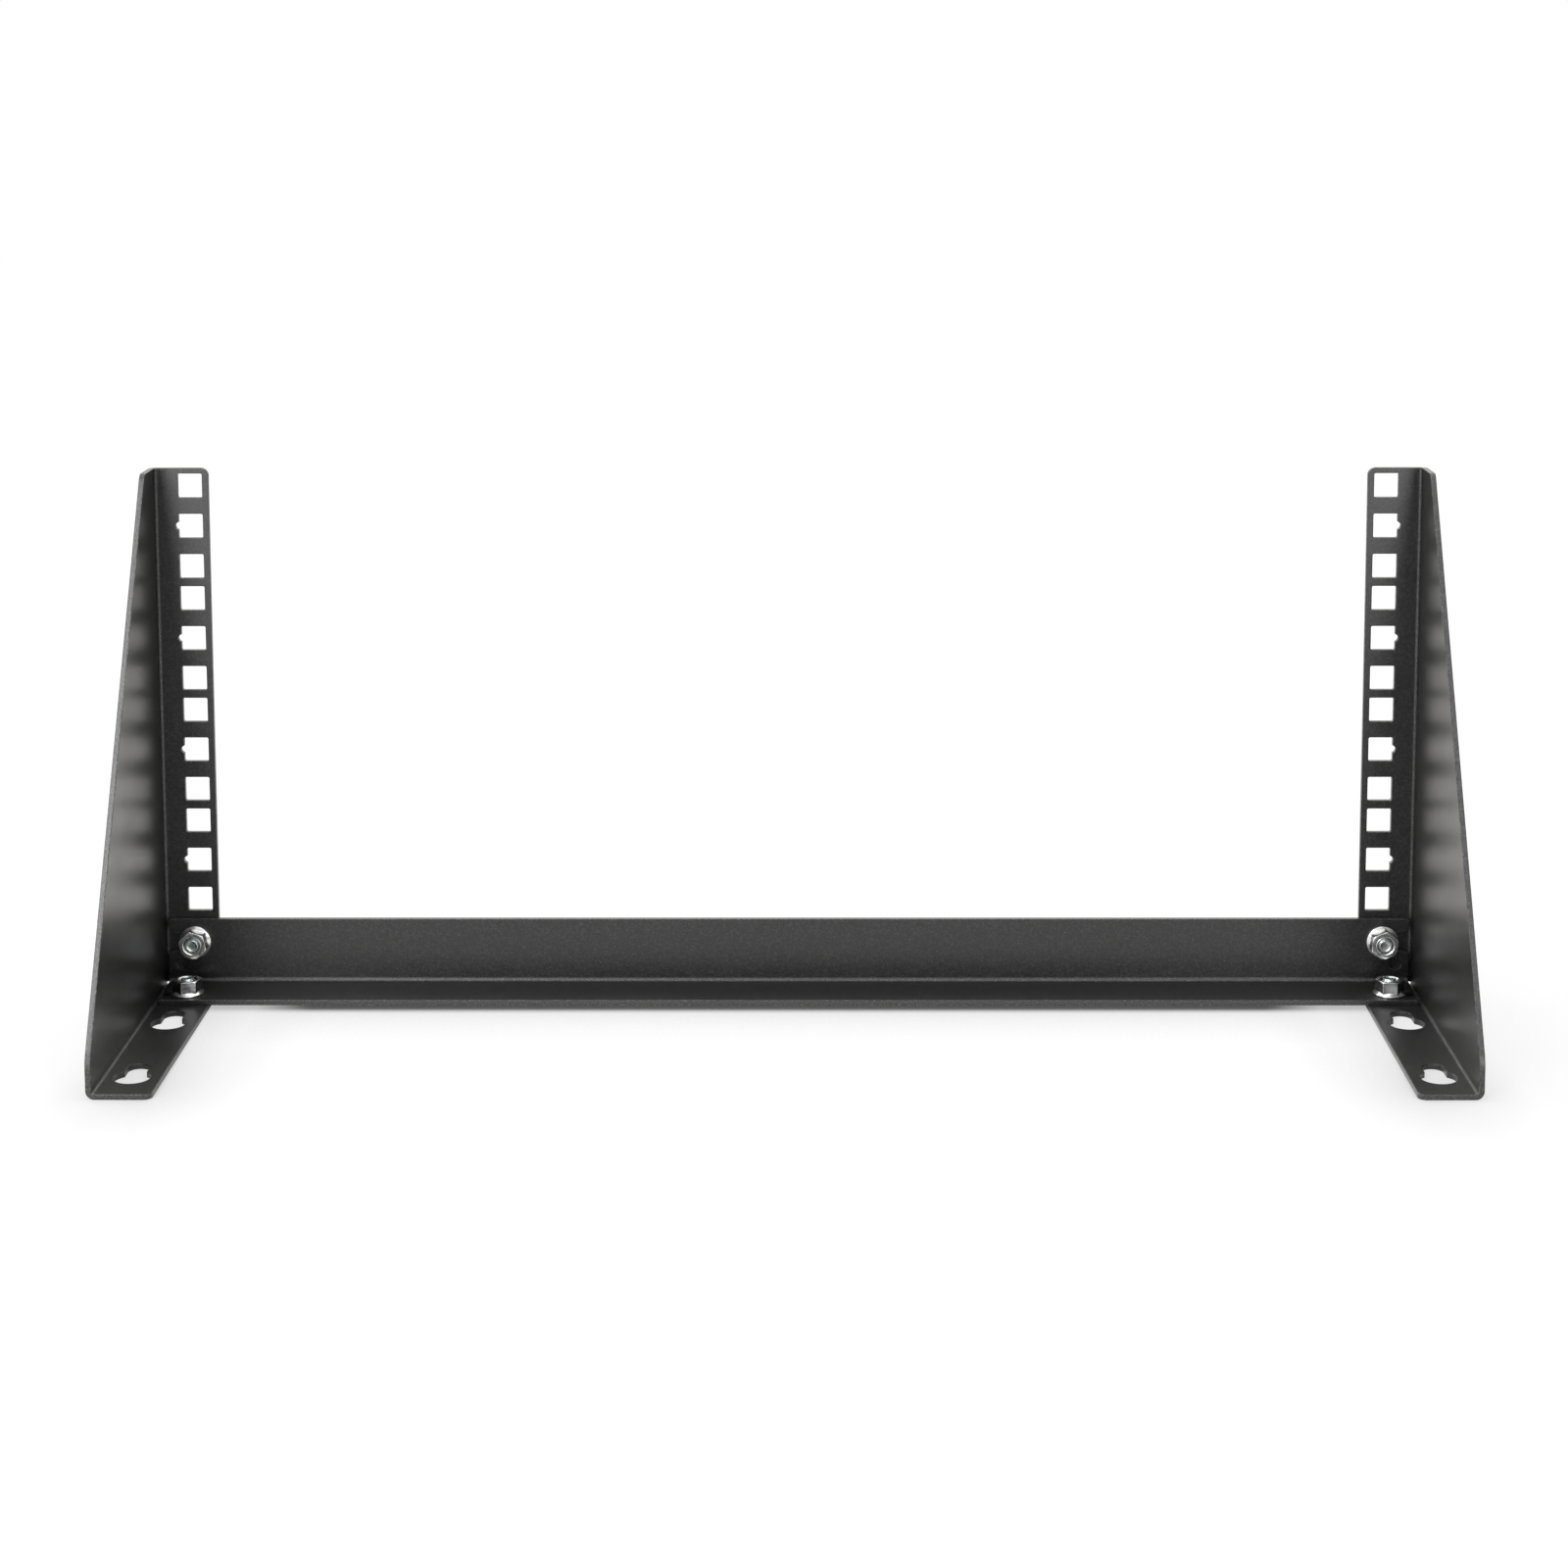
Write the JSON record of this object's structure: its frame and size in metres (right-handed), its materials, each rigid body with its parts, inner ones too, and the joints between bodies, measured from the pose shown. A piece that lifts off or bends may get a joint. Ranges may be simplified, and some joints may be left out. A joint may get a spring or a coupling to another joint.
{
  "type": "wall mount open frame rack",
  "caption": "Open frame for rack equipment: folded side brackets with square-hole rails and keyholed wall flanges, joined at the foot by a bolted angle bar.",
  "frame": {"origin": "on the wall plane under the middle of the frame, at the centre of its footprint", "axes": "+X across the frame to the right as the nuts are seen, +Y from the wall flanges' front edges to the rails' equipment faces, +Z away from the wall"},
  "size_m": [0.4966, 0.125, 0.2088],
  "materials": {
    "powder_coat": "fine-textured black powder coat on steel, satin",
    "zinc": "bright zinc plating"
  },
  "bodies": {
    "root": {"left_side_bracket": "powder_coat", "right_side_bracket": "powder_coat", "cross_bar": "powder_coat", "upper_left_nut": "zinc", "upper_left_stud": "zinc", "upper_right_nut": "zinc", "upper_right_stud": "zinc", "lower_left_nut": "zinc", "lower_left_stud": "zinc", "lower_right_nut": "zinc", "lower_right_stud": "zinc"}
  },
  "joints": []
}
